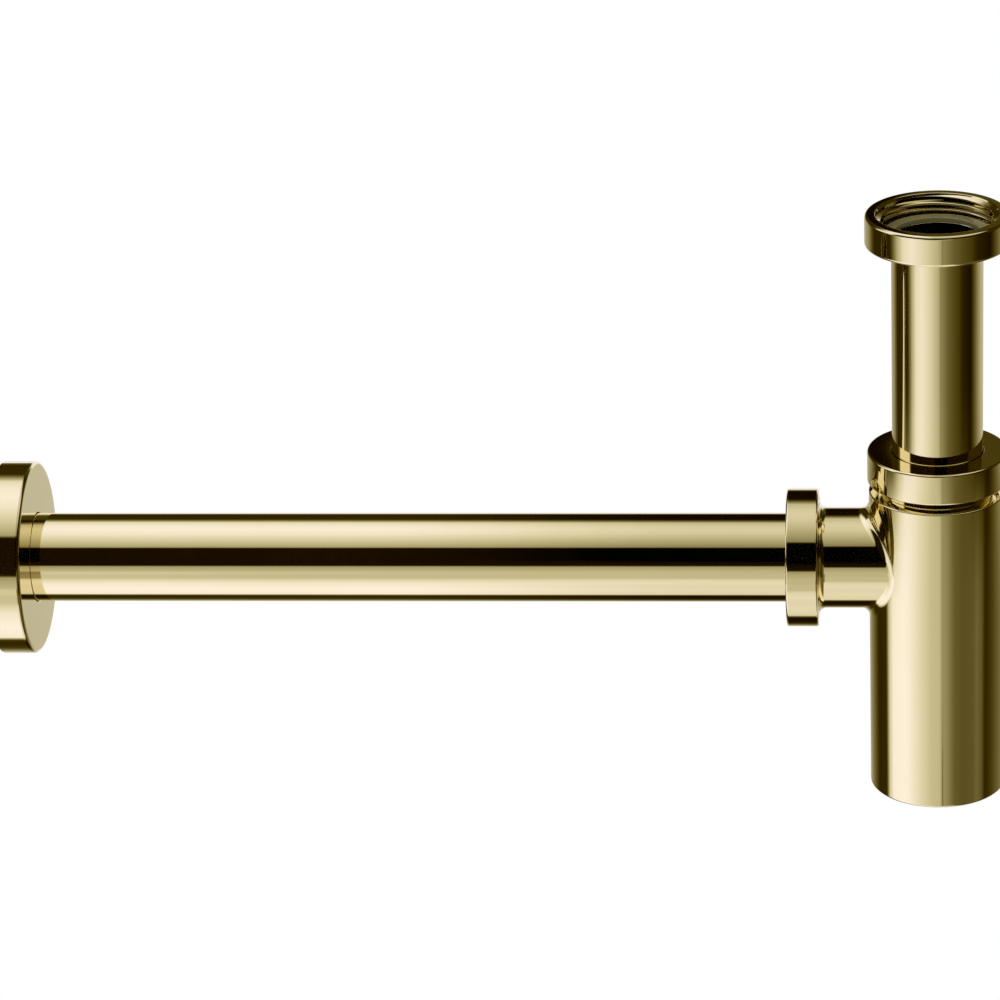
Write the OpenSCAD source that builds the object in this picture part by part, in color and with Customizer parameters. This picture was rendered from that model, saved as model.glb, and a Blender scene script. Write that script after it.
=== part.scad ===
// Bottle trap for a wash basin: a polished brass cup with a dip tube,
// a side outlet tube and a wall flange.
// The origin is the centre of the inlet washer's upper face, where the
// basin waste seats. +Z is up and the outlet runs along -X.

/* [Tubes] */
// Outside diameter of the inlet and the outlet tube
tube_d = 32; // [30:0.5:34]
// Wall of both tubes
tube_wall = 1; // [0.8:0.1:1.4]
// Length of the inlet tube below its collar
inlet_tube_l = 187; // [178:1:196]
// Length of the outlet tube
outlet_tube_l = 350; // [320:5:400]
// Width of the collar rolled on the inlet tube
collar_w = 3.2; // [2.6:0.1:3.2]
// Thickness of the collar
collar_t = 1.2; // [1:0.1:1.8]
// Chamfer on the cut ends of the tubes
tube_chamfer = 0.3; // [0.1:0.1:0.5]

/* [Trap body] */
// Outside diameter of the cup
cup_d = 48.6; // [47:0.2:52]
// Wall of the cup
cup_wall = 1.5; // [1.2:0.1:2.5]
// Thickness of the cup's floor and of its shoulder
cup_floor = 2; // [1.6:0.2:3]
// Height of the outlet's axis above the underside of the cup
cup_below = 87.8; // [86:0.2:100]
// Height of the shoulder above the outlet's axis
cup_above = 26.6; // [24:0.2:34]
// Rounding of the shoulder's edge
shoulder_round = 2; // [1:0.1:3]
// Rounding of the cup's lower edge
base_round = 0.8; // [0.4:0.1:1.4]
// Drop from the washer to the outlet's axis, as set by the sliding tube
outlet_drop = 122.9; // [120:0.5:130]
// Wall of the outlet spigot
spigot_wall = 1.5; // [1.2:0.1:2]
// Distance from the cup's axis to the outlet nut
spigot_reach = 42.1; // [40:0.1:50]
// Radius of the fillet where the spigot grows out of the cup
saddle_round = 4; // [2:0.5:5]

/* [Threads and nuts] */
// Outside diameter of the thread on the neck and on the spigot
thread_d = 41.8; // [41:0.1:43]
// Inside diameter over the crests of the inlet nut's thread
inlet_thread_d = 38.95; // [38.9:0.05:39.6]
// Outside diameter of the inlet nut
inlet_nut_d = 50.4; // [49:0.2:54]
// Height of the inlet nut
inlet_nut_h = 11.2; // [10.8:0.2:14]
// Thickness of the inlet nut's lip
inlet_lip_t = 1.4; // [1.2:0.1:2]
// Outside diameter of the cap nut and the outlet nut
nut_d = 49.6; // [48:0.2:54]
// Height of the cap nut and the outlet nut
nut_h = 11.4; // [10.8:0.2:14]
// Thickness of the lip of both nuts
lip_t = 2; // [1.6:0.1:2.6]
// Bare neck between the cap nut and the shoulder
neck_gap = 3.6; // [2.5:0.1:6]
// Chamfer at the mouth of a thread
thread_chamfer = 1; // [0.5:0.1:1.4]
// Width added to the inlet nut's thread at its mouth
mouth_flare = 2; // [1:0.1:2.4]
// Depth of the groove that holds the washer in the inlet nut
washer_groove = 0.35; // [0.2:0.05:0.5]
// Chamfer on the outer edges of the nuts
edge_chamfer = 0.3; // [0.1:0.1:0.6]

/* [Seals] */
// Thickness of the inlet washer
washer_t = 1.8; // [1.4:0.1:2.4]
// Thickness of the slip rings under the nuts
slip_ring_t = 1; // [0.6:0.1:1.2]
// Width of the slip rings
slip_ring_w = 4; // [3:0.1:4.2]
// Height of the seals above the ends they seat in
seal_rim = 1.6; // [1:0.1:2]
// Depth of the cone that the seals are pressed into
seal_cone = 3.2; // [2.4:0.1:4]
// Width that the cone adds to the bore at its mouth
seal_flare = 2.6; // [2:0.1:3]

/* [Wall flange] */
// Outside diameter of the wall flange
flange_d = 69.8; // [60:0.2:80]
// Depth of the wall flange
flange_h = 12.3; // [11:0.1:16]
// Wall of the flange
flange_wall = 1.2; // [1:0.1:2]
// Distance from the cup's axis to the flange's face
flange_reach = 325.7; // [260:0.1:330]
// Wall of the boss that holds the ring inside the flange
boss_wall = 4.2; // [3.6:0.1:5]
// Length of the boss inside the flange
boss_h = 6.4; // [5:0.1:8]
// Thickness of the ring that grips the outlet tube
o_ring_t = 2.4; // [1.8:0.1:2.8]

/* [Clearances] */
// Radial gap between a tube and the hole that it slides in
slide_gap = 0.35; // [0.2:0.05:0.6]
// Radial gap between a tube and the bore of the neck or the spigot
bore_gap = 0.6; // [0.5:0.1:0.8]
// Radial gap between a screwed pair
thread_gap = 0.1; // [0.05:0.05:0.3]
// Gap between a seal and what it presses on
seal_gap = 0.05; // [0.02:0.01:0.1]
// How far the outlet tube stops short of the cup's outer wall
outlet_stop = 3.7; // [1:0.1:8]

/* [Hidden] */

$fn = 96;
brass = [0.79, 0.70, 0.42];
rubber_black = [0.08, 0.08, 0.08];
ring_white = [0.90, 0.89, 0.85];
washer_clear = [0.80, 0.76, 0.60];

tube_r = tube_d / 2;
tube_in = tube_r - tube_wall;
slide_r = tube_r + slide_gap;
bore_r = tube_r + bore_gap;
grip_r = tube_r + seal_gap;
collar_r = tube_r + collar_w;

cup_r = cup_d / 2;
cup_in = cup_r - cup_wall;
cup_low = -outlet_drop - cup_below;
shoulder_z = cup_above - outlet_drop;
spigot_r = bore_r + spigot_wall;
thread_r = thread_d / 2;
head_round = thread_r - spigot_r;

// the nut's open face is the zero of a screwed joint, and these lie above it
thread_end = nut_h - lip_t - slip_ring_t - seal_rim;
slip_ring_z = nut_h - lip_t - slip_ring_t;
nut_bore = thread_r + thread_gap;
seat_r = bore_r + seal_flare;
seal_rim_r = (seat_r + thread_r) / 2;
cap_z = shoulder_z + neck_gap;

flange_r = flange_d / 2;
boss_r = slide_r + boss_wall;
o_ring_r = o_ring_t / 2;
groove_r = grip_r + o_ring_t + seal_gap;
groove_w = o_ring_t + 2 * seal_gap;
groove_z = (boss_h - groove_w) / 2;
outlet_end = cup_r + outlet_stop;
washer_r = collar_r;
inlet_thread_r = inlet_thread_d / 2;
inlet_nut_low = -washer_t - collar_t - inlet_lip_t;

// steps round the saddle fillet and across it, how far its edges dip under
// the faces that they blend into, and how deep its root is buried
saddle_steps = 48;
arc_steps = 5;
saddle_sink = 0.03;
saddle_root = 0.7;

// overshoot that lets a cut clear the face it leaves by
over = 1;

// places its child on the outlet's axis, with +Z pointing outwards
module on_outlet() {
  translate([0, 0, -outlet_drop]) rotate([0, -90, 0]) children();
}

// half section of a bar with rounded outer corners, to be revolved
module rounded_half(r, low, high, round_low, round_high) {
  translate([0, low + round_low])
    square([r, high - low - round_low - round_high]);
  translate([0, low]) square([r - round_low, round_low]);
  translate([r - round_low, low + round_low]) circle(round_low);
  translate([0, high - round_high]) square([r - round_high, round_high]);
  translate([r - round_high, high - round_high]) circle(round_high);
}

// a ring with the same chamfer on its four edges
module chamfered_ring(r_in, r_out, low, high, chamfer) {
  rotate_extrude() polygon([
    [r_in, low + chamfer], [r_in + chamfer, low],
    [r_out - chamfer, low], [r_out, low + chamfer],
    [r_out, high - chamfer], [r_out - chamfer, high],
    [r_in + chamfer, high], [r_in, high - chamfer]
  ]);
}

module inlet_nut() {
  nut_r = inlet_nut_d / 2;
  top = inlet_nut_low + inlet_nut_h;
  mouth_r = inlet_thread_r + mouth_flare;
  groove_in = inlet_thread_r + washer_groove;
  seat = inlet_nut_low + inlet_lip_t;
  color(brass) rotate_extrude() polygon([
    [slide_r, inlet_nut_low], [nut_r - edge_chamfer, inlet_nut_low],
    [nut_r, inlet_nut_low + edge_chamfer], [nut_r, top - edge_chamfer],
    [nut_r - edge_chamfer, top], [mouth_r, top],
    [inlet_thread_r, top - thread_chamfer], [inlet_thread_r, 0],
    [groove_in, -washer_groove], [groove_in, seat], [slide_r, seat]
  ]);
}

module inlet_washer() {
  color(washer_clear) rotate_extrude()
    translate([tube_in, -washer_t]) square([washer_r - tube_in, washer_t]);
}

module inlet_tube() {
  top = -washer_t;
  low = top - inlet_tube_l;
  color(brass) rotate_extrude() polygon([
    [tube_in + tube_chamfer, low], [tube_r - tube_chamfer, low],
    [tube_r, low + tube_chamfer], [tube_r, top - collar_t],
    [collar_r, top - collar_t], [collar_r, top],
    [tube_in + tube_chamfer, top], [tube_in, top - tube_chamfer],
    [tube_in, low + tube_chamfer]
  ]);
}

// a nut standing on its open face, with its lip at the top
module screwed_nut() {
  nut_r = nut_d / 2;
  ceiling = nut_h - lip_t;
  rotate_extrude() polygon([
    [nut_bore + thread_chamfer, 0], [nut_r - edge_chamfer, 0],
    [nut_r, edge_chamfer], [nut_r, nut_h - edge_chamfer],
    [nut_r - edge_chamfer, nut_h], [slide_r + edge_chamfer, nut_h],
    [slide_r, nut_h - edge_chamfer], [slide_r, ceiling],
    [nut_bore, ceiling], [nut_bore, thread_chamfer]
  ]);
}

module slip_ring() {
  chamfered_ring(slide_r, slide_r + slip_ring_w, slip_ring_z,
                 slip_ring_z + slip_ring_t, slip_ring_t / 4);
}

// a rubber ring whose lower part tapers into the cone of the end it seats in
module cone_seal() {
  rotate_extrude() polygon([
    [grip_r, thread_end - seal_cone], [bore_r - seal_gap, thread_end - seal_cone],
    [seat_r - seal_gap, thread_end], [seal_rim_r, thread_end],
    [seal_rim_r, slip_ring_z], [grip_r, slip_ring_z]
  ]);
}

// threaded outside of the neck or the spigot, from a stated start to its end
module threaded_outside(start) {
  rotate_extrude() polygon([
    [0, start], [thread_r, start], [thread_r, thread_end - thread_chamfer],
    [thread_r - thread_chamfer, thread_end], [0, thread_end]
  ]);
}

// what the tube and its seal need cut out of the neck or the spigot
module seal_bore(start) {
  rotate_extrude() polygon([
    [0, start], [bore_r, start], [bore_r, thread_end - seal_cone],
    [seat_r, thread_end], [seat_r, thread_end + over], [0, thread_end + over]
  ]);
}

module cap_nut() {
  color(brass) translate([0, 0, cap_z]) screwed_nut();
}

module cap_slip_ring() {
  color(ring_white) translate([0, 0, cap_z]) slip_ring();
}

module cap_seal() {
  color(rubber_black) translate([0, 0, cap_z]) cone_seal();
}

module outlet_nut() {
  color(brass) on_outlet() translate([0, 0, spigot_reach]) screwed_nut();
}

module outlet_slip_ring() {
  color(ring_white) on_outlet() translate([0, 0, spigot_reach]) slip_ring();
}

module outlet_seal() {
  color(rubber_black) on_outlet() translate([0, 0, spigot_reach]) cone_seal();
}

// outside of the spigot: a tube that flares into its threaded head
module spigot_outside() {
  cylinder(r = spigot_r, h = spigot_reach);
  translate([0, 0, spigot_reach]) {
    threaded_outside(0);
    rotate_extrude() difference() {
      translate([0, -head_round]) square([thread_r, head_round]);
      translate([thread_r, -head_round]) circle(head_round);
    }
  }
}

// the saddle fillet is the path of a ball rolling round the spigot's root,
// and these are its centre and what its arc touches at one turn t
function ball_centre(t) =
  let (y = (spigot_r + saddle_round) * sin(t))
  [-sqrt(pow(cup_r + saddle_round, 2) - y * y), y,
   (spigot_r + saddle_round) * cos(t)];
function unit(v) = v / norm(v);
function towards_spigot(c) = unit([0, -c.y, -c.z]);
function towards_cup(c) = unit([-c.x, -c.y, 0]);
function arc_point(c, k) =
  c + (saddle_round + saddle_sink)
    * unit((1 - k) * towards_spigot(c) + k * towards_cup(c));
function root_point(t) =
  let (r = spigot_r - saddle_root, y = r * sin(t))
  [-sqrt(pow(cup_r - saddle_root, 2) - y * y), y, r * cos(t)];
function saddle_ring(t) =
  let (c = ball_centre(t))
  concat([for (i = [0 : arc_steps]) arc_point(c, i / arc_steps)],
         [root_point(t)]);

module saddle_fillet() {
  ring_n = arc_steps + 2;
  points = [for (s = [0 : saddle_steps - 1])
            each saddle_ring(s * 360 / saddle_steps)];
  faces = [for (s = [0 : saddle_steps - 1], i = [0 : ring_n - 1])
    let (a = s * ring_n, b = (s + 1) % saddle_steps * ring_n,
         j = (i + 1) % ring_n)
    each [[a + i, b + i, b + j], [a + i, b + j, a + j]]];
  polyhedron(points = points, faces = faces);
}

module trap_body() {
  color(brass) difference() {
    union() {
      translate([0, 0, -outlet_drop]) saddle_fillet();
      rotate_extrude()
        rounded_half(cup_r, cup_low, shoulder_z, base_round, shoulder_round);
      translate([0, 0, cap_z]) threaded_outside(-neck_gap - over);
      on_outlet() spigot_outside();
    }
    rotate_extrude() translate([0, cup_low + cup_floor])
      square([cup_in, shoulder_z - cup_low - 2 * cup_floor]);
    translate([0, 0, cap_z]) seal_bore(-neck_gap - cup_floor - over);
    on_outlet() translate([0, 0, spigot_reach]) seal_bore(-spigot_reach);
  }
}

module outlet_tube() {
  color(brass) on_outlet()
    chamfered_ring(tube_in, tube_r, outlet_end, outlet_end + outlet_tube_l,
                   tube_chamfer);
}

module wall_flange() {
  color(brass) on_outlet() translate([0, 0, flange_reach])
    rotate_extrude() difference() {
      polygon([
        [slide_r, 0], [flange_r - edge_chamfer, 0], [flange_r, edge_chamfer],
        [flange_r, flange_h], [flange_r - flange_wall, flange_h],
        [flange_r - flange_wall, flange_wall], [boss_r, flange_wall],
        [boss_r, boss_h], [slide_r, boss_h]
      ]);
      translate([0, groove_z]) square([groove_r, groove_w]);
    }
}

module flange_o_ring() {
  color(rubber_black) on_outlet() translate([0, 0, flange_reach])
    rotate_extrude()
      translate([grip_r + o_ring_r, groove_z + groove_w / 2]) circle(o_ring_r);
}

inlet_nut();
inlet_washer();
inlet_tube();
cap_nut();
cap_slip_ring();
cap_seal();
trap_body();
outlet_nut();
outlet_slip_ring();
outlet_seal();
outlet_tube();
wall_flange();
flange_o_ring();
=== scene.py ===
import math

import bpy
from mathutils import Euler, Matrix, Vector


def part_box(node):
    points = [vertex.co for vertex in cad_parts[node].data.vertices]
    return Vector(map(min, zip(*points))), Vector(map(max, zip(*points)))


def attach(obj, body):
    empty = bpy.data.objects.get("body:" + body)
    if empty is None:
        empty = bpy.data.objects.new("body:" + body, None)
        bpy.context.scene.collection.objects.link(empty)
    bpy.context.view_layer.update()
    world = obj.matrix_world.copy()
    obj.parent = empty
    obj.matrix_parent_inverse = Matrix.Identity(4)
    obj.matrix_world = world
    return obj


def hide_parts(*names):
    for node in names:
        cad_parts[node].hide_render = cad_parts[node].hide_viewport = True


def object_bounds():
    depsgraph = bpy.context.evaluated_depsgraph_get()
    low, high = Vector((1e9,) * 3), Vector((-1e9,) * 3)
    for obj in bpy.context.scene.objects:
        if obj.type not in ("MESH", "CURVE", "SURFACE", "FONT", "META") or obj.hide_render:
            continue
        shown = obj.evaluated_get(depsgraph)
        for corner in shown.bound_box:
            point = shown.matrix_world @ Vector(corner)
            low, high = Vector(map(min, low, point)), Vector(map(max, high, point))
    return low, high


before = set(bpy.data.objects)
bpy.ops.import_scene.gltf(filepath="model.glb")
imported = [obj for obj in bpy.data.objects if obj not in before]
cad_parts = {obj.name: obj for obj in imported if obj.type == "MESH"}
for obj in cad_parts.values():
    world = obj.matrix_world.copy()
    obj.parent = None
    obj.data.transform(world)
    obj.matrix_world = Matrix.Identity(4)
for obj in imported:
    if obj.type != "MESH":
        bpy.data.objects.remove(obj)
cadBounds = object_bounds()
mm = 0.001

outlet = {
    "drop": 122.9 * mm,      # from the washer's upper face down to the outlet's axis
    "nutFace": 42.1 * mm,    # from the cup's axis to the outlet nut's open face
}
# turns a piece made round +Z onto the outlet's axis, with +Z pointing at the wall
ontoOutlet = Matrix.Translation((0, 0, -outlet["drop"])) @ Matrix.Rotation(-math.pi / 2, 4, "Y")


# ---- nodes, for materials, the world and the geometry trees alike

class Wire:
    # a socket carrying a value, so that sums on it can be written as Python
    def __init__(self, graph, socket):
        self.graph = graph
        self.socket = socket

    def maths(self, operation, *others, clamp=False):
        made = self.graph.tree.nodes.new("ShaderNodeMath")
        made.operation = operation
        made.use_clamp = clamp
        for slot, value in zip(made.inputs, (self, *others)):
            self.graph.feed(slot, value)
        return Wire(self.graph, made.outputs[0])

    def __add__(self, other):
        return self.maths("ADD", other)

    __radd__ = __add__

    def __sub__(self, other):
        return self.maths("SUBTRACT", other)

    def __rsub__(self, other):
        return (self * -1) + other

    def __mul__(self, other):
        return self.maths("MULTIPLY", other)

    __rmul__ = __mul__

    def __truediv__(self, other):
        return self.maths("DIVIDE", other)

    def __neg__(self):
        return self * -1


class Graph:
    def __init__(self, tree):
        self.tree = tree

    def feed(self, socket, value):
        if isinstance(value, Wire):
            self.tree.links.new(value.socket, socket)
        else:
            socket.default_value = value

    def node(self, kind, settings=None, sockets=None, output=0):
        made = self.tree.nodes.new(kind)
        for name, value in (settings or {}).items():
            if name == "stops":
                setStops(made.color_ramp, value)
            else:
                setattr(made, name, value)
        for name, value in (sockets or {}).items():
            self.feed(made.inputs[name], value)
        return Wire(self, made.outputs[output])

    def band(self, value, low, high):
        # 0 below low, 1 above high, and smooth between them
        return self.node("ShaderNodeMapRange", {"interpolation_type": "SMOOTHSTEP"},
                         {"Value": value, "From Min": low, "From Max": high})


def setStops(ramp, stops):
    while len(ramp.elements) < len(stops):
        ramp.elements.new(1)
    for element, (place, colour) in zip(ramp.elements, stops):
        element.position = place
        element.color = (*colour, 1) if isinstance(colour, tuple) else (colour, colour, colour, 1)


def toLinear(shown):
    shown = max(shown, 0)
    return shown / 12.92 if shown <= 0.04045 else ((shown + 0.055) / 1.055) ** 2.4


# ---- camera

camera = {
    "place": (0.00108, -1.4338, 0.50445),
    "turn": (67.223, 2.288, 5.291),
    "lens": 157.15,
    "sensor": 36,
}


def makeCamera():
    lens = bpy.data.cameras.new("camera")
    lens.sensor_width = camera["sensor"]
    lens.lens = camera["lens"]
    lens.clip_start = 0.05
    lens.clip_end = 20
    stand = bpy.data.objects.new("camera", lens)
    stand.location = camera["place"]
    stand.rotation_euler = Euler([math.radians(angle) for angle in camera["turn"]])
    bpy.context.scene.collection.objects.link(stand)
    bpy.context.scene.camera = stand


makeCamera()
bpy.context.scene.view_settings.view_transform = "Standard"
print("camera ready")


# ---- materials

brass = {
    "colour": (0.92, 0.82, 0.50),
    "deep": (0.90, 0.79, 0.46),      # where the polish is a little warmer
    "roughness": 0.035,
    "smudge": 0.025,                 # roughness that handling adds in patches
    "turningMarks": 0.10,            # strength of the marks left by the polishing wheel
    "marksPerMetre": 2600,
    "ripple": 0.05,                  # strength of the slow waves in the polished skin
    "ripplesPerMetre": 55,
}
rubber = {"colour": (0.028, 0.027, 0.026), "dusty": (0.060, 0.058, 0.055), "roughness": 0.55}
slipPlastic = {"colour": (0.86, 0.85, 0.80), "shaded": (0.80, 0.79, 0.73), "roughness": 0.38}
silicone = {"colour": (0.20, 0.18, 0.08), "shaded": (0.15, 0.13, 0.05), "roughness": 0.18}


def newMaterial(name):
    material = bpy.data.materials.new(name)
    material.use_nodes = True
    graph = Graph(material.node_tree)
    shader = next(node for node in graph.tree.nodes if node.type == "BSDF_PRINCIPLED")
    return material, graph, shader


def noise(graph, coordinates, perMetre, detail=2, stretch=(1, 1, 1), distortion=0):
    placed = graph.node("ShaderNodeMapping", None, {"Vector": coordinates, "Scale": stretch})
    return graph.node("ShaderNodeTexNoise", None, {
        "Vector": placed, "Scale": perMetre, "Detail": detail, "Distortion": distortion})


def mixColour(graph, share, first, second):
    made = graph.tree.nodes.new("ShaderNodeMix")
    made.data_type = "RGBA"
    graph.feed(made.inputs["Factor"], share)
    made.inputs[6].default_value = (*first, 1)
    made.inputs[7].default_value = (*second, 1)
    return Wire(graph, made.outputs[2])


def polishedBrass(name, along):
    # along says which way the piece was turned on the lathe: 2 for upright pieces, 0 for the outlet's
    material, graph, shader = newMaterial(name)
    place = graph.node("ShaderNodeTexCoord", output="Object")
    patches = noise(graph, place, 22, detail=3)
    shader.inputs["Metallic"].default_value = 1
    graph.feed(shader.inputs["Base Color"], mixColour(graph, patches, brass["colour"], brass["deep"]))
    handled = graph.band(noise(graph, place, 48, detail=5, distortion=0.6), 0.45, 0.8)
    graph.feed(shader.inputs["Roughness"], handled * brass["smudge"] + brass["roughness"])
    stretch = [0.02, 0.02, 0.02]
    stretch[along] = 1
    marks = noise(graph, place, brass["marksPerMetre"], detail=2, stretch=tuple(stretch))
    ripple = noise(graph, place, brass["ripplesPerMetre"], detail=1)
    wheel = graph.node("ShaderNodeBump", None, {
        "Height": marks, "Strength": brass["turningMarks"], "Distance": 0.000004})
    waves = graph.node("ShaderNodeBump", None, {
        "Height": ripple, "Normal": wheel, "Strength": brass["ripple"], "Distance": 0.0004})
    graph.feed(shader.inputs["Normal"], waves)
    return material


def plainMaterial(name, look, grain, bumpDepth):
    material, graph, shader = newMaterial(name)
    place = graph.node("ShaderNodeTexCoord", output="Object")
    speckle = noise(graph, place, grain, detail=6)
    cloudy = noise(graph, place, 60, detail=2)
    other = look.get("dusty") or look["shaded"]
    graph.feed(shader.inputs["Base Color"], mixColour(graph, cloudy, look["colour"], other))
    graph.feed(shader.inputs["Roughness"], speckle * 0.16 + (look["roughness"] - 0.08))
    graph.feed(shader.inputs["Normal"], graph.node("ShaderNodeBump", None, {
        "Height": speckle, "Strength": 0.4, "Distance": bumpDepth}))
    return material


uprightBrass = polishedBrass("polished brass, upright", 2)
lyingBrass = polishedBrass("polished brass, lying", 0)
sealRubber = plainMaterial("seal rubber", rubber, 2400, 0.00004)
slipRingPlastic = plainMaterial("slip ring plastic", slipPlastic, 900, 0.00002)
washerSilicone = plainMaterial("washer silicone", silicone, 700, 0.00003)
print("materials ready")


# ---- turned pieces: a half section with rounded corners, swept round its axis

def newTree(name, inputs):
    tree = bpy.data.node_groups.new(name, "GeometryNodeTree")
    tree.is_modifier = True
    tree.interface.new_socket("Geometry", in_out="INPUT", socket_type="NodeSocketGeometry")
    tree.interface.new_socket("Geometry", in_out="OUTPUT", socket_type="NodeSocketGeometry")
    for label, kind in inputs:
        tree.interface.new_socket(label, in_out="INPUT", socket_type="NodeSocket" + kind)
    graph = Graph(tree)
    group = tree.nodes.new("NodeGroupInput")
    return tree, graph, {socket.name: Wire(graph, socket) for socket in group.outputs if socket.name}


def endTree(graph, geometry, material):
    smooth = graph.node("GeometryNodeSetShadeSmooth", None, {"Geometry": geometry})
    real = graph.node("GeometryNodeRealizeInstances", None, {"Geometry": smooth})
    dressed = graph.node("GeometryNodeSetMaterial", None, {"Geometry": real, "Material": material})
    out = graph.tree.nodes.new("NodeGroupOutput")
    graph.feed(out.inputs[0], dressed)


def makeTurningTree():
    tree, graph, given = newTree("turned piece", [
        ("Lathe Radius", "Float"), ("Segments", "Int"), ("Corner Steps", "Int"), ("Material", "Material")])
    section = graph.node("GeometryNodeMeshToCurve", None, {"Mesh": given["Geometry"]})
    rounding = graph.node("GeometryNodeInputNamedAttribute", {"data_type": "FLOAT"}, {"Name": "rounding"})
    eased = graph.node("GeometryNodeFilletCurve", {"mode": "POLY"}, {
        "Curve": section, "Count": given["Corner Steps"], "Radius": rounding, "Limit Radius": True})
    path = graph.node("GeometryNodeCurvePrimitiveCircle", None, {
        "Resolution": given["Segments"], "Radius": given["Lathe Radius"]})
    turned = graph.node("GeometryNodeCurveToMesh", None, {"Curve": path, "Profile Curve": eased})
    endTree(graph, turned, given["Material"])
    return tree


def makeThreadTree():
    tree, graph, given = newTree("helical thread", [
        ("Thread Radius", "Float"), ("Pitch", "Float"), ("Turns", "Float"), ("Fade Turns", "Float"),
        ("Steps per Turn", "Int"), ("Material", "Material")])
    ridge = graph.node("GeometryNodeMeshToCurve", None, {"Mesh": given["Geometry"]})
    helix = graph.node("GeometryNodeCurveSpiral", None, {
        "Resolution": given["Steps per Turn"], "Rotations": given["Turns"], "Start Radius": given["Thread Radius"],
        "End Radius": given["Thread Radius"], "Height": given["Turns"] * given["Pitch"], "Reverse": True})
    upright = graph.node("GeometryNodeSetCurveNormal", {"mode": "Z_UP"}, {"Curve": helix})
    factor = graph.node("GeometryNodeSplineParameter")
    share = given["Fade Turns"] / given["Turns"]
    rising = graph.band(factor, 0, share)
    falling = 1 - graph.band(factor, 1 - share, 1)
    height = rising.maths("MINIMUM", falling) * 0.999 + 0.001
    swept = graph.node("GeometryNodeCurveToMesh", None, {
        "Curve": upright, "Profile Curve": ridge, "Scale": height, "Fill Caps": True})
    endTree(graph, swept, given["Material"])
    return tree


turningTree = makeTurningTree()
threadTree = makeThreadTree()


def runTree(name, points, roundings, tree, settings, turn=None):
    # draws the section as a closed chain, runs the tree on it and keeps the plain mesh
    section = bpy.data.meshes.new(name)
    count = len(points)
    section.from_pydata(points, [(i, (i + 1) % count) for i in range(count)], [])
    if roundings:
        section.attributes.new("rounding", "FLOAT", "POINT").data.foreach_set("value", roundings)
    piece = bpy.data.objects.new(name, section)
    bpy.context.scene.collection.objects.link(piece)
    lathe = piece.modifiers.new("tree", "NODES")
    lathe.node_group = tree
    for item in tree.interface.items_tree:
        if item.item_type == "SOCKET" and item.in_out == "INPUT" and item.name in settings:
            lathe[item.identifier] = settings[item.name]
    crisp = piece.modifiers.new("crisp", "WEIGHTED_NORMAL")
    crisp.weight = 100
    crisp.keep_sharp = False
    seen = piece.evaluated_get(bpy.context.evaluated_depsgraph_get())
    mesh = bpy.data.meshes.new_from_object(seen)
    piece.modifiers.clear()
    piece.data = mesh
    bpy.data.meshes.remove(section)
    mesh.name = name
    if turn:
        mesh.transform(turn)
    return piece


latheRadius = 20 * mm


def turnPiece(name, chain, material, turn=None, segments=192):
    # chain holds (radius, height, rounding) in millimetres, counter-clockwise seen with the radius to the right
    points = [(r * mm - latheRadius, -z * mm, 0) for r, z, _ in reversed(chain)]
    roundings = [rounding * mm for _, _, rounding in reversed(chain)]
    return runTree(name, points, roundings, turningTree, {
        "Lathe Radius": latheRadius, "Segments": segments, "Corner Steps": 5, "Material": material}, turn)


thread = {
    "pitch": 2.309,          # millimetres, right-handed
    "rootShare": 0.80,       # width of a ridge at its root, as a share of the pitch
    "flank": 0.5,            # what a ridge narrows on each side for a millimetre of height
    "bury": 0.12,            # how far the root of a ridge lies under the wall it stands on
}


def cutThread(name, wallRadius, crestRadius, turns, fade, turn, material):
    # a ridge from the wall to the crest; a crest inside the wall makes a nut's thread
    depth = crestRadius - wallRadius
    outwards = 1 if depth > 0 else -1
    root = thread["pitch"] * thread["rootShare"] / 2
    crest = root - abs(depth) * thread["flank"]
    ease = abs(depth) * 0.07
    half = [(-outwards * thread["bury"], root + 0.02), (0, root), (depth * 0.86, crest + ease * 1.3),
            (depth * 0.96, crest + ease * 0.4), (depth, crest * 0.55)]
    chain = half + [(d, -w) for d, w in reversed(half)]
    if outwards > 0:
        chain = chain[::-1]
    points = [(d * mm, w * mm, 0) for d, w in chain]
    return runTree(name, points, None, threadTree, {
        "Thread Radius": wallRadius * mm, "Pitch": thread["pitch"] * mm, "Turns": turns, "Fade Turns": fade,
        "Steps per Turn": 120, "Material": material}, turn)


def place(piece, body, slot, *nodes):
    if nodes:
        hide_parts(*nodes)
    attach(piece, body)
    print("made", piece.name, len(piece.data.polygons), "faces")
    return piece


# ---- inlet: union nut and dip tube

inletNut = {
    "holeRadius": 16.35, "threadWall": 20.95, "threadCrest": 19.475,
    "lip": 1.4, "edge": 1.2, "mouthRadius": 21.5, "mouthDepth": 0.9,
    "rimRound": 0.3, "threadTop": 5.9, "threadTurns": 2.35, "threadStart": 345,
}
inletTube = {"radius": 16, "bore": 15, "collarRadius": 19.2, "collar": 1.2, "edge": 0.25, "neckRound": 0.5}


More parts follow.
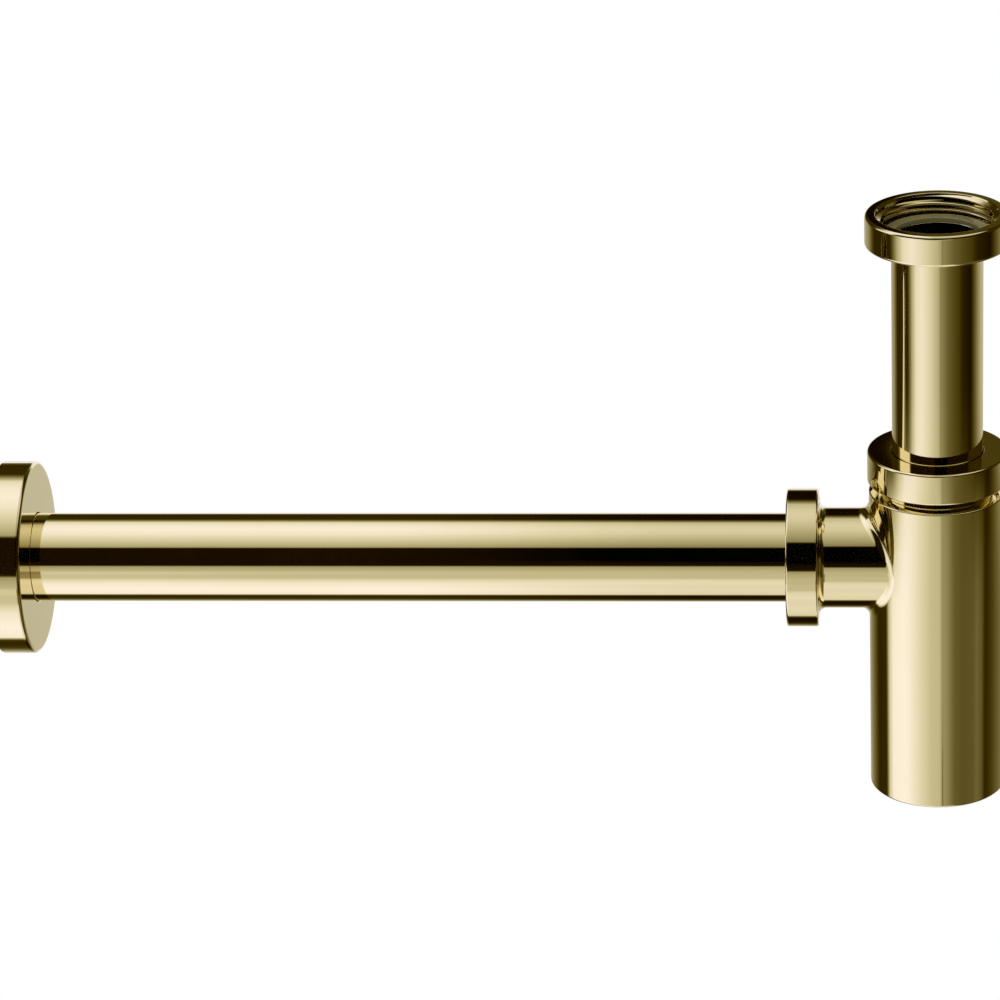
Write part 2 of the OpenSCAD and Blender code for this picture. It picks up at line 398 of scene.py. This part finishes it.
def makeInletNut():
    low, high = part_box("inlet_nut")
    outer, bottom, top = high.x / mm, low.z / mm, high.z / mm
    seat = bottom + inletNut["lip"]
    chain = [
        (inletNut["holeRadius"], bottom, 0.25), (outer, bottom, inletNut["edge"]), (outer, top, inletNut["edge"]),
        (inletNut["mouthRadius"], top, inletNut["rimRound"]),
        (inletNut["threadWall"], top - inletNut["mouthDepth"], 0.2),
        (inletNut["threadWall"], seat, 0.2), (inletNut["holeRadius"], seat, 0.2),
    ]
    place(turnPiece("inletNut", chain, uprightBrass), "inlet_nut", "polished_brass", "inlet_nut")
    bottomOfThread = inletNut["threadTop"] - inletNut["threadTurns"] * thread["pitch"]
    put = Matrix.Translation((0, 0, bottomOfThread * mm)) @ Matrix.Rotation(
        math.radians(inletNut["threadStart"]), 4, "Z")
    ridge = cutThread("inletNutThread", inletNut["threadWall"], inletNut["threadCrest"],
                      inletNut["threadTurns"], 0.18, put, uprightBrass)
    place(ridge, "inlet_nut", "polished_brass")


def makeInletTube():
    low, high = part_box("inlet_tube")
    bottom, top = low.z / mm, high.z / mm
    tube = inletTube
    chain = [
        (tube["bore"], bottom, tube["edge"]), (tube["radius"], bottom, tube["edge"]),
        (tube["radius"], top - tube["collar"], tube["neckRound"]),
        (tube["collarRadius"], top - tube["collar"], tube["edge"]),
        (tube["collarRadius"], top, tube["edge"]), (tube["bore"], top, tube["edge"]),
    ]
    place(turnPiece("inletTube", chain, uprightBrass), "inlet_tube", "polished_brass", "inlet_tube")


def makeInletWasher():
    low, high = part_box("inlet_washer")
    bottom, top, outer = low.z / mm, high.z / mm, high.x / mm
    bore = inletTube["bore"]
    chain = [(bore, bottom, 0.3), (outer, bottom, 0.3), (outer, top, 0.6), (bore, top, 0.5)]
    place(turnPiece("inletWasher", chain, washerSilicone), "inlet_washer", "washer_rubber", "inlet_washer")


makeInletNut()
makeInletTube()
makeInletWasher()


# ---- the two nuts that press the seals

pressNut = {
    "holeRadius": 16.35, "threadWall": 21.0, "threadCrest": 20.45, "lip": 2.0, "edge": 0.8,
    "mouthRadius": 21.9, "mouthDepth": 0.8, "holeRound": 0.3, "threadLow": 1.0, "threadTurns": 2.1,
    "capThreadStart": 194, "outletThreadStart": 211,   # degrees: each ridge lies in the middle of its neck's groove
}


def makePressNut(name, node, radius, height, turn, threadStart, material):
    nut = pressNut
    ceiling = height - nut["lip"]
    chain = [
        (nut["mouthRadius"], 0, 0.2), (radius, 0, nut["edge"]), (radius, height, nut["edge"]),
        (nut["holeRadius"], height, nut["holeRound"]), (nut["holeRadius"], ceiling, 0.2),
        (nut["threadWall"], ceiling, 0.2), (nut["threadWall"], nut["mouthDepth"], 0.15),
    ]
    place(turnPiece(name, chain, material, turn), node, "polished_brass", node)
    put = turn @ Matrix.Translation((0, 0, nut["threadLow"] * mm)) @ Matrix.Rotation(
        math.radians(threadStart), 4, "Z")
    ridge = cutThread(name + "Thread", nut["threadWall"], nut["threadCrest"], nut["threadTurns"], 0.3, put, material)
    place(ridge, node, "polished_brass")


capLow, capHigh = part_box("cap_nut")
makePressNut("capNut", "cap_nut", capHigh.x / mm, (capHigh.z - capLow.z) / mm,
             Matrix.Translation((0, 0, capLow.z)), pressNut["capThreadStart"], uprightBrass)
sideLow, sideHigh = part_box("outlet_nut")
makePressNut("outletNut", "outlet_nut", sideHigh.y / mm, (sideHigh.x - sideLow.x) / mm,
             ontoOutlet @ Matrix.Translation((0, 0, -sideHigh.x)), pressNut["outletThreadStart"], lyingBrass)


# ---- outlet: tube and wall flange

outletTube = {"radius": 16, "bore": 15, "edge": 0.25}
wallFlange = {
    "holeRadius": 16.35, "wall": 1.2, "edge": 1.5, "holeRound": 0.35, "bossRadius": 20.55, "boss": 6.4,
    "grooveRadius": 18.5, "grooveLow": 1.95, "grooveWidth": 2.5,
}


def makeOutletTube():
    low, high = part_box("outlet_tube")
    start, end = -high.x / mm, -low.x / mm
    tube = outletTube
    chain = [(tube["bore"], start, tube["edge"]), (tube["radius"], start, tube["edge"]),
             (tube["radius"], end, tube["edge"]), (tube["bore"], end, tube["edge"])]
    place(turnPiece("outletTube", chain, lyingBrass, ontoOutlet), "outlet_tube", "polished_brass", "outlet_tube")


def makeWallFlange():
    low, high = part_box("wall_flange")
    face, back, outer = -high.x / mm, -low.x / mm, high.y / mm
    rim = wallFlange
    grooveTop = face + rim["grooveLow"] + rim["grooveWidth"]
    chain = [
        (rim["holeRadius"], face, rim["holeRound"]), (outer, face, rim["edge"]), (outer, back, 0.3),
        (outer - rim["wall"], back, 0.3), (outer - rim["wall"], face + rim["wall"], 0.6),
        (rim["bossRadius"], face + rim["wall"], 0.5), (rim["bossRadius"], face + rim["boss"], 0.3),
        (rim["holeRadius"], face + rim["boss"], 0.3), (rim["holeRadius"], grooveTop, 0.1),
        (rim["grooveRadius"], grooveTop, 0.15), (rim["grooveRadius"], face + rim["grooveLow"], 0.15),
        (rim["holeRadius"], face + rim["grooveLow"], 0.1),
    ]
    place(turnPiece("wallFlange", chain, lyingBrass, ontoOutlet, segments=224),
          "wall_flange", "polished_brass", "wall_flange")


makeOutletTube()
makeWallFlange()


# ---- trap body: cup, neck and spigot in one skin, with the saddle fillet between them

trapBody = {
    "cupWall": 1.5, "floor": 2.0, "baseRound": 0.8, "shoulderRound": 0.5, "innerRound": 0.8,
    "spigotRadius": 18.1, "bore": 16.6, "saddleRound": 4.0, "headRound": 2.6,
    "threadCore": 19.5, "threadRadius": 20.9, "collarWidth": 0.5,
    "coneDepth": 3.2, "coneRadius": 19.2, "threadEnd": 6.8, "neckGap": 3.6, "plainNeck": 2.2,
    "columns": 192, "sideColumns": 33, "patchHalf": 24.4, "patchRows": 48, "innerHalf": 20.0,
    "saddleSteps": 10, "patchSteps": 6,
}


def roundedChain(chain, steps=5):
    # (radius, height, rounding) corners of an open chain into (radius, height, normal) points;
    # the metal lies to the left of the way that the chain runs
    traced = []
    last = len(chain) - 1
    for i, (r, z, rounding) in enumerate(chain):
        here = Vector((r, z))
        into = (here - Vector(chain[i - 1][:2])).normalized() if i > 0 else None
        away = (Vector(chain[i + 1][:2]) - here).normalized() if i < last else None
        if into is None or away is None:
            way = away or into
            traced.append((r, z, Vector((way.y, -way.x))))
            continue
        turning = math.atan2(into.x * away.y - into.y * away.x, into.dot(away))
        if abs(turning) < 1e-6:
            traced.append((r, z, Vector((into.y, -into.x))))
            continue
        side = 1 if turning > 0 else -1
        normal = Vector((into.y, -into.x))
        centre = here - into * (rounding * math.tan(abs(turning) / 2)) - normal * (side * rounding)
        for step in range(steps + 1):
            angle = turning * step / steps
            tilted = Vector((normal.x * math.cos(angle) - normal.y * math.sin(angle),
                             normal.x * math.sin(angle) + normal.y * math.cos(angle)))
            point = centre + tilted * (side * rounding)
            traced.append((point.x, point.y, tilted))
    return traced


class Skin:
    # gathers points and faces whose corners each carry their own normal
    def __init__(self):
        self.points = []
        self.faces = []
        self.normals = []
        self.kinds = []

    def ring(self, points):
        first = len(self.points)
        self.points.extend(points)
        return list(range(first, len(self.points)))

    def strip(self, ringA, normalsA, ringB, normalsB, kind=0, closed=True, skip=()):
        count = len(ringA)
        for i in range(count if closed else count - 1):
            if i in skip:
                continue
            j = (i + 1) % count
            corners = [(ringA[i], normalsA[i]), (ringA[j], normalsA[j]),
                       (ringB[j], normalsB[j]), (ringB[i], normalsB[i])]
            kept = [corner for k, corner in enumerate(corners) if corner[0] != corners[k - 1][0]]
            self.faces.append([corner[0] for corner in kept])
            self.normals.append([corner[1] for corner in kept])
            self.kinds.append(kind)

    def mesh(self, name, materials):
        made = bpy.data.meshes.new(name)
        made.from_pydata([tuple(c * mm for c in point) for point in self.points], [], self.faces)
        for material in materials:
            made.materials.append(material)
        made.polygons.foreach_set("material_index", self.kinds)
        made.polygons.foreach_set("use_smooth", [True] * len(self.faces))
        made.update()
        made.normals_split_custom_set([tuple(normal) for face in self.normals for normal in face])
        return made


def makeTrapBody():
    body = trapBody
    low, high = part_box("trap_body")
    cup, bottom = high.x / mm, low.z / mm
    axisZ = -outlet["drop"] / mm
    neckTop = high.z / mm
    shoulder = neckTop - body["threadEnd"] - body["neckGap"]
    cavity = cup - body["cupWall"]
    floor, ceiling = bottom + body["floor"], shoulder - body["floor"]
    columns, side = body["columns"], body["sideColumns"]
    skin = Skin()

    def upright(r, z, normal):
        angles = [2 * math.pi * k / columns for k in range(columns)]
        ring = skin.ring([(r * math.cos(a), r * math.sin(a), z) for a in angles])
        return ring, [Vector((normal.x * math.cos(a), normal.x * math.sin(a), normal.y)) for a in angles]

    def rows(half):
        return [axisZ - half + 2 * half * i / body["patchRows"] for i in range(body["patchRows"] + 1)]

    outerChain = [
        (0.0, bottom, 0), (cup, bottom, body["baseRound"]),
        *[(cup, z, 0) for z in rows(body["patchHalf"])],
        (cup, shoulder, body["shoulderRound"]), (body["threadCore"], shoulder, 0.25),
        (body["threadCore"], neckTop, 0.1), (body["coneRadius"], neckTop, 0.1),
        (body["bore"], neckTop - body["coneDepth"], 0.3), (body["bore"], ceiling, 0.5),
        (cavity, ceiling, body["innerRound"]),
        *[(cavity, z, 0) for z in reversed(rows(body["innerHalf"]))],
        (cavity, floor, body["innerRound"]), (0.0, floor, 0),
    ]
    traced = roundedChain(outerChain)
    middle = columns // 2                               # the column that faces the wall
    window = set(range(middle - side, middle + side))   # faces left out where the spigot leaves
    outerEdge, innerEdge = {}, {}
    previous = None
    for r, z, normal in traced:
        if r < 1e-6:
            pole = skin.ring([(0, 0, z)])
            ring, normals = pole * columns, [Vector((0, 0, normal.y))] * columns
        else:
            ring, normals = upright(r, z, normal)
        half = None
        if abs(normal.y) < 1e-6 and previous is not None:
            if abs(r - cup) < 1e-6 and previous[2] >= axisZ - body["patchHalf"] - 1e-6 \
                    and z <= axisZ + body["patchHalf"] + 1e-6:
                half = outerEdge
            elif abs(r - cavity) < 1e-6 and previous[2] <= axisZ + body["innerHalf"] + 1e-6 \
                    and z >= axisZ - body["innerHalf"] - 1e-6:
                half = innerEdge
        if previous is not None:
            if half is not None:
                half[round(previous[2], 6)] = previous[0]
                half[round(z, 6)] = ring
            skin.strip(previous[0], previous[1], ring, normals, skip=window if half is not None else ())
        previous = (ring, normals, z)

    def windowEdge(edge, radius):
        # the points round the window, with the unrolled place of each: angle from the wall's side, height
        heights = sorted(edge)
        first, last = middle - side, middle + side
        walk = [(k, heights[-1]) for k in range(first, last)]
        walk += [(last, z) for z in reversed(heights[1:])]
        walk += [(k, heights[0]) for k in range(last, first, -1)]
        walk += [(first, z) for z in heights[:-1]]
        walk.reverse()
        return [(edge[z][k], 2 * math.pi * k / columns - math.pi, z - axisZ) for k, z in walk]

    def unrolled(radius, a, z):
        return (-radius * math.cos(a), -radius * math.sin(a), z + axisZ)

    def radial(a):
        return Vector((-math.cos(a), -math.sin(a), 0))

    def patch(edge, radius, holeOf, halfWide, halfHigh, outwards):
        # rings from the window's edge in to the hole; returns the turn t of each column and the last ring
        turns = [math.atan2(-radius * a / halfWide, z / halfHigh) for _, a, z in edge]
        ring = [index for index, _, _ in edge]
        normals = [radial(a) * outwards for _, a, _ in edge]
        for step in range(1, body["patchSteps"] + 1):
            share = step / body["patchSteps"]
            spots = []
            for (_, a, z), t in zip(edge, turns):
                holeA, holeZ = holeOf(t)
                spots.append((a + (holeA - a) * share, z + (holeZ - z) * share))
            nextRing = skin.ring([unrolled(radius, a, z) for a, z in spots])
            nextNormals = [radial(a) * outwards for a, _ in spots]
            joinStrip(ring, normals, nextRing, nextNormals, outwards)
            ring, normals = nextRing, nextNormals
        return turns, ring, normals

    def joinStrip(ringA, normalsA, ringB, normalsB, outwards, kind=0):
        if outwards > 0:
            skin.strip(ringA, normalsA, ringB, normalsB, kind)
        else:
            skin.strip(ringB, normalsB, ringA, normalsA, kind)

    spigot, ball = body["spigotRadius"], body["saddleRound"]

    def ballCentre(t):
        y = (spigot + ball) * math.sin(t)
        return Vector((-math.sqrt((cup + ball) ** 2 - y * y), y, (spigot + ball) * math.cos(t)))

    def outerHole(t):
        centre = ballCentre(t)
        return -math.asin(centre.y / (cup + ball)), centre.z

    def innerHole(t):
        return -math.asin(body["bore"] * math.sin(t) / cavity), body["bore"] * math.cos(t)

    wideOuter = cup * math.asin((spigot + ball) / (cup + ball))
    turns, ring, normals = patch(windowEdge(outerEdge, cup), cup, outerHole, wideOuter, spigot + ball, 1)

    # the ball that rolls round the root of the spigot leaves the fillet behind it
    for step in range(1, body["saddleSteps"] + 1):
        share = step / body["saddleSteps"]
        points, nextNormals = [], []
        for t in turns:
            centre = ballCentre(t)
            toCup = Vector((-centre.x, -centre.y, 0)).normalized()
            toSpigot = Vector((0, -centre.y, -centre.z)).normalized()
            wide = math.acos(max(-1, min(1, toCup.dot(toSpigot))))
            touch = (toCup * math.sin((1 - share) * wide) + toSpigot * math.sin(share * wide)) / math.sin(wide)
            points.append(tuple(centre + touch * ball + Vector((0, 0, axisZ))))
            nextNormals.append(-touch)
        nextRing = skin.ring(points)
        skin.strip(ring, normals, nextRing, nextNormals, 0 if share < 0.5 else 1)
        ring, normals = nextRing, nextNormals

    # along the spigot, round its threaded head and back down its bore
    face = outlet["nutFace"] / mm
    head = face + body["threadEnd"]
    spigotChain = roundedChain([
        (spigot, 30.0, 0), (spigot, face, body["headRound"]), (body["threadRadius"], face, 0.15),
        (body["threadRadius"], face + body["collarWidth"], 0.12), (body["threadCore"], face + body["collarWidth"], 0.2),
        (body["threadCore"], head, 0.1), (body["coneRadius"], head, 0.1), (body["bore"], head - body["coneDepth"], 0.3),
        (body["bore"], 30.0, 0),
    ])
    for r, out, normal in spigotChain:
        points = [(-out, r * math.sin(t), r * math.cos(t) + axisZ) for t in turns]
        nextNormals = [Vector((-normal.y, normal.x * math.sin(t), normal.x * math.cos(t))) for t in turns]
        nextRing = skin.ring(points)
        skin.strip(ring, normals, nextRing, nextNormals, 1)
        ring, normals = nextRing, nextNormals

    wideInner = cavity * math.asin(body["bore"] / cavity)
    innerTurns, innerRing, innerNormals = patch(
        windowEdge(innerEdge, cavity), cavity, innerHole, wideInner, body["bore"], -1)
    print("turns agree to", max(abs(a - b) for a, b in zip(turns, innerTurns)))
    inward = [Vector((0, -math.sin(t), -math.cos(t))) for t in innerTurns]
    skin.strip(ring, normals, innerRing, inward, 1)

    piece = bpy.data.objects.new("trapBody", skin.mesh("trapBody", [uprightBrass, lyingBrass]))
    bpy.context.scene.collection.objects.link(piece)
    place(piece, "trap_body", "polished_brass", "trap_body")

    neckStart = shoulder + body["plainNeck"]
    neckTurns = (neckTop - 0.55 - neckStart) / thread["pitch"]
    ridge = cutThread("neckThread", body["threadCore"], body["threadRadius"], neckTurns, 0.25,
                      Matrix.Translation((0, 0, neckStart * mm)), uprightBrass)
    place(ridge, "trap_body", "polished_brass")
    headStart = face + body["collarWidth"] + 0.3
    headTurns = (head - 0.55 - headStart) / thread["pitch"]
    ridge = cutThread("spigotThread", body["threadCore"], body["threadRadius"], headTurns, 0.2,
                      ontoOutlet @ Matrix.Translation((0, 0, headStart * mm)), lyingBrass)
    place(ridge, "trap_body", "polished_brass")


makeTrapBody()


# ---- the rubber and plastic rings keep their solids

def dress(node, material):
    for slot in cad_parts[node].material_slots:
        slot.material = material


for ring in ("cap_slip_ring", "outlet_slip_ring"):
    dress(ring, slipRingPlastic)
for ring in ("cap_seal", "outlet_seal", "flange_o_ring"):
    dress(ring, sealRubber)
print("rings dressed")


# ---- studio: a white room to the eye, and what the polished metal sees of it

studio = {
    "floorDrop": 0.75,        # below the part's lowest point
    "floorSide": 12,
    "roomLight": 0.9,         # what lights the matt pieces
    "lampWatts": 4,
    "brightest": 1.6,         # the soft boxes, against white
    "lineAt": 8,              # degrees right of the front where a seam of the backdrop shows as a dark line
    "lineDepth": 0.22,
    "boxLean": 27,            # degrees by which the overhead box's rear edge turns for each unit of x
    "cardBehind": 0.22,       # a pale card behind the cup, which the flat tops see
}
# how bright the brass shows each direction, from black at 0 to white at 1
# round the horizon: degrees from straight in front, positive to the right
aroundHigh = [(-180, 0.95), (-168, 0.74), (-137, 0.55), (-118, 0.17), (-80, 0.17), (-66, 0.70), (-55, 0.91),
              (-40, 0.95), (-25, 0.90), (-13, 0.83), (0, 0.74), (6.4, 0.655), (7.4, 0.57), (13, 0.53), (25, 0.42),
              (40, 0.33), (56, 0.26), (68, 0.15), (92, 0.10), (104, 0.30), (122, 0.55), (140, 0.70), (168, 0.75),
              (180, 0.95)]
aroundLow = [(-180, 0.95), (-168, 0.72), (-135, 0.40), (-118, 0.17), (-98, 0.20), (-91, 0.80), (-82, 0.98),
             (-60, 1.0), (-48, 0.975), (-35, 0.915), (-21, 0.84), (-10, 0.785), (3, 0.765), (5, 0.70), (9, 0.62),
             (13, 0.58), (18, 0.54), (28, 0.40), (42, 0.35), (62, 0.37), (70, 0.43), (80, 0.37), (88, 0.18),
             (100, 0.24), (116, 0.36), (140, 0.50), (168, 0.75), (180, 0.95)]
# the same above the horizon, where only the left soft box is seen
aroundUpper = [(-180, 0.20), (-125, 0.18), (-113, 0.30), (-108, 0.92), (-76, 0.92), (-71, 0.10), (80, 0.08),
               (90, 0.20), (180, 0.20)]
# over the top from in front: degrees up from the front horizon
overTop = [(-180, 0.95), (-150, 0.90), (-135, 0.66), (-117, 0.24), (-105, 0.19), (-97, 0.22), (-93.5, 0.58),
           (-90, 0.97), (-70, 1.0), (-49, 0.96), (-39, 0.88), (-30, 0.815), (-20, 0.78), (-12, 0.735), (-5, 0.68),
           (-0.8, 0.61), (0.8, 0.12), (4, 0.09), (45.6, 0.085), (48.6, 0.66), (55, 0.74), (66, 0.83), (76, 0.90),
           (86, 0.955), (100, 0.985), (112, 0.965), (124.8, 0.90), (134.3, 0.45), (139.5, 0.20), (165, 0.17),
           (173, 0.34), (180, 0.90)]


def brightness(level):
    # the light that brass of this tint shows as that level: its darks are olive, its lights cream
    shown = (level, level - 0.05, level - 0.235 + 0.09 * max(level - 0.85, 0) / 0.15)
    return tuple(min(toLinear(s) / b / studio["brightest"], 1) for s, b in zip(shown, brass["colour"]))


def makeWorld():
    world = bpy.data.worlds.new("studio")
    world.use_nodes = True
    bpy.context.scene.world = world
    graph = Graph(world.node_tree)
    graph.tree.nodes.clear()
    way = graph.tree.nodes.new("ShaderNodeSeparateXYZ")
    graph.feed(way.inputs[0], graph.node("ShaderNodeTexCoord", output="Generated"))
    x, y, z = (Wire(graph, socket) for socket in way.outputs)

    def ramp(angle, stops):
        return graph.node("ShaderNodeValToRGB", {
            "stops": [((degrees + 180) / 360, level) for degrees, level in stops]},
            {"Fac": angle / (2 * math.pi) + 0.5})

    front = -y
    around = x.maths("ARCTAN2", front)
    over = z.maths("ARCTAN2", front)
    lowShare = 1 - graph.band(z, -0.415, -0.36)
    lower = graph.node("ShaderNodeMix", {"data_type": "FLOAT"}, {
        "Factor": lowShare, "A": ramp(around, aroundHigh), "B": ramp(around, aroundLow)})
    offLine = (around - math.radians(studio["lineAt"])).maths("ABSOLUTE")
    line = (1 - graph.band(offLine, 0.003, 0.035)) * ((1 - graph.band(z, -0.452, -0.430)) * 0.8 + 0.2)
    horizon = graph.node("ShaderNodeMix", {"data_type": "FLOAT"}, {
        "Factor": graph.band(z, 0.02, 0.10), "A": lower - line * studio["lineDepth"],
        "B": ramp(around, aroundUpper)})
    sideways = x.maths("ABSOLUTE")
    lean = (x + 0.146) * math.radians(studio["boxLean"]) * graph.band(over, 1.6, 2.0)
    card = graph.band(x, -0.016, -0.006) * graph.band(z, 0.2, 0.3) * graph.band(y, 0.6, 0.8) * studio["cardBehind"]
    atSide = graph.band(sideways, 0.30, 0.45) * (1 - graph.band(z, 0.6, 0.8))
    inBand = graph.band(z, -0.62, -0.52) * (1 - graph.band(z, -0.30, -0.22))
    dimmer = graph.band(x, -0.13, -0.05) * graph.band(z, 0.1, 0.3) * 0.13 \
        + graph.band(x, -0.13, -0.05) * (1 - graph.band(z, -0.9, -0.6)) * 0.10
    arch = ramp(over + lean, overTop) - dimmer + card
    level = graph.node("ShaderNodeMix", {"data_type": "FLOAT"}, {
        "Factor": atSide.maths("MAXIMUM", inBand), "A": arch, "B": horizon})
    tones = [0.0, 0.1, 0.2, 0.3, 0.4, 0.5, 0.6, 0.7, 0.8, 0.9, 1.0]
    tint = graph.node("ShaderNodeValToRGB", {"stops": [(tone, brightness(tone)) for tone in tones]}, {"Fac": level})
    seenInMetal = graph.node("ShaderNodeBackground", None, {"Color": tint, "Strength": studio["brightest"]})
    room = graph.node("ShaderNodeBackground", None, {"Color": (1, 1, 1, 1), "Strength": studio["roomLight"]})
    white = graph.node("ShaderNodeBackground", None, {"Color": (1, 1, 1, 1), "Strength": 1})
    glossy = graph.node("ShaderNodeLightPath", output="Is Glossy Ray")
    direct = graph.node("ShaderNodeLightPath", output="Is Camera Ray")
    lit = graph.tree.nodes.new("ShaderNodeMixShader")
    graph.feed(lit.inputs[0], glossy)
    graph.feed(lit.inputs[1], room)
    graph.feed(lit.inputs[2], seenInMetal)
    shown = graph.tree.nodes.new("ShaderNodeMixShader")
    graph.feed(shown.inputs[0], direct)
    graph.feed(shown.inputs[1], Wire(graph, lit.outputs[0]))
    graph.feed(shown.inputs[2], white)
    out = graph.tree.nodes.new("ShaderNodeOutputWorld")
    graph.feed(out.inputs[0], Wire(graph, shown.outputs[0]))


def makeFloor():
    low, high = cadBounds
    half = studio["floorSide"] / 2
    z = low.z - studio["floorDrop"]
    mesh = bpy.data.meshes.new("floor")
    mesh.from_pydata([(-half, -half, z), (half, -half, z), (half, half, z), (-half, half, z)], [], [(0, 1, 2, 3)])
    floor = bpy.data.objects.new("floor", mesh)
    bpy.context.scene.collection.objects.link(floor)
    material, graph, shader = newMaterial("floor paper")
    shader.inputs["Base Color"].default_value = (0.9, 0.9, 0.9, 1)
    shader.inputs["Roughness"].default_value = 0.9
    glow = graph.node("ShaderNodeEmission", None, {"Color": (1, 1, 1, 1), "Strength": 1})
    mix = graph.tree.nodes.new("ShaderNodeMixShader")
    graph.feed(mix.inputs[0], graph.node("ShaderNodeLightPath", output="Is Camera Ray"))
    graph.feed(mix.inputs[1], Wire(graph, shader.outputs[0]))
    graph.feed(mix.inputs[2], glow)
    out = next(node for node in graph.tree.nodes if node.type == "OUTPUT_MATERIAL")
    graph.feed(out.inputs[0], Wire(graph, mix.outputs[0]))
    mesh.materials.append(material)
    floor.visible_glossy = False


def makeLamp():
    lamp = bpy.data.lights.new("soft lamp", "AREA")
    lamp.energy = studio["lampWatts"]
    lamp.size = 1.2
    holder = bpy.data.objects.new("soft lamp", lamp)
    holder.location = (-0.5, -0.6, 1.3)
    holder.rotation_euler = Vector((0.35, 0.6, -1.4)).to_track_quat("-Z", "Y").to_euler()
    holder.visible_glossy = False
    bpy.context.scene.collection.objects.link(holder)


makeWorld()
makeFloor()
makeLamp()
print("studio ready")
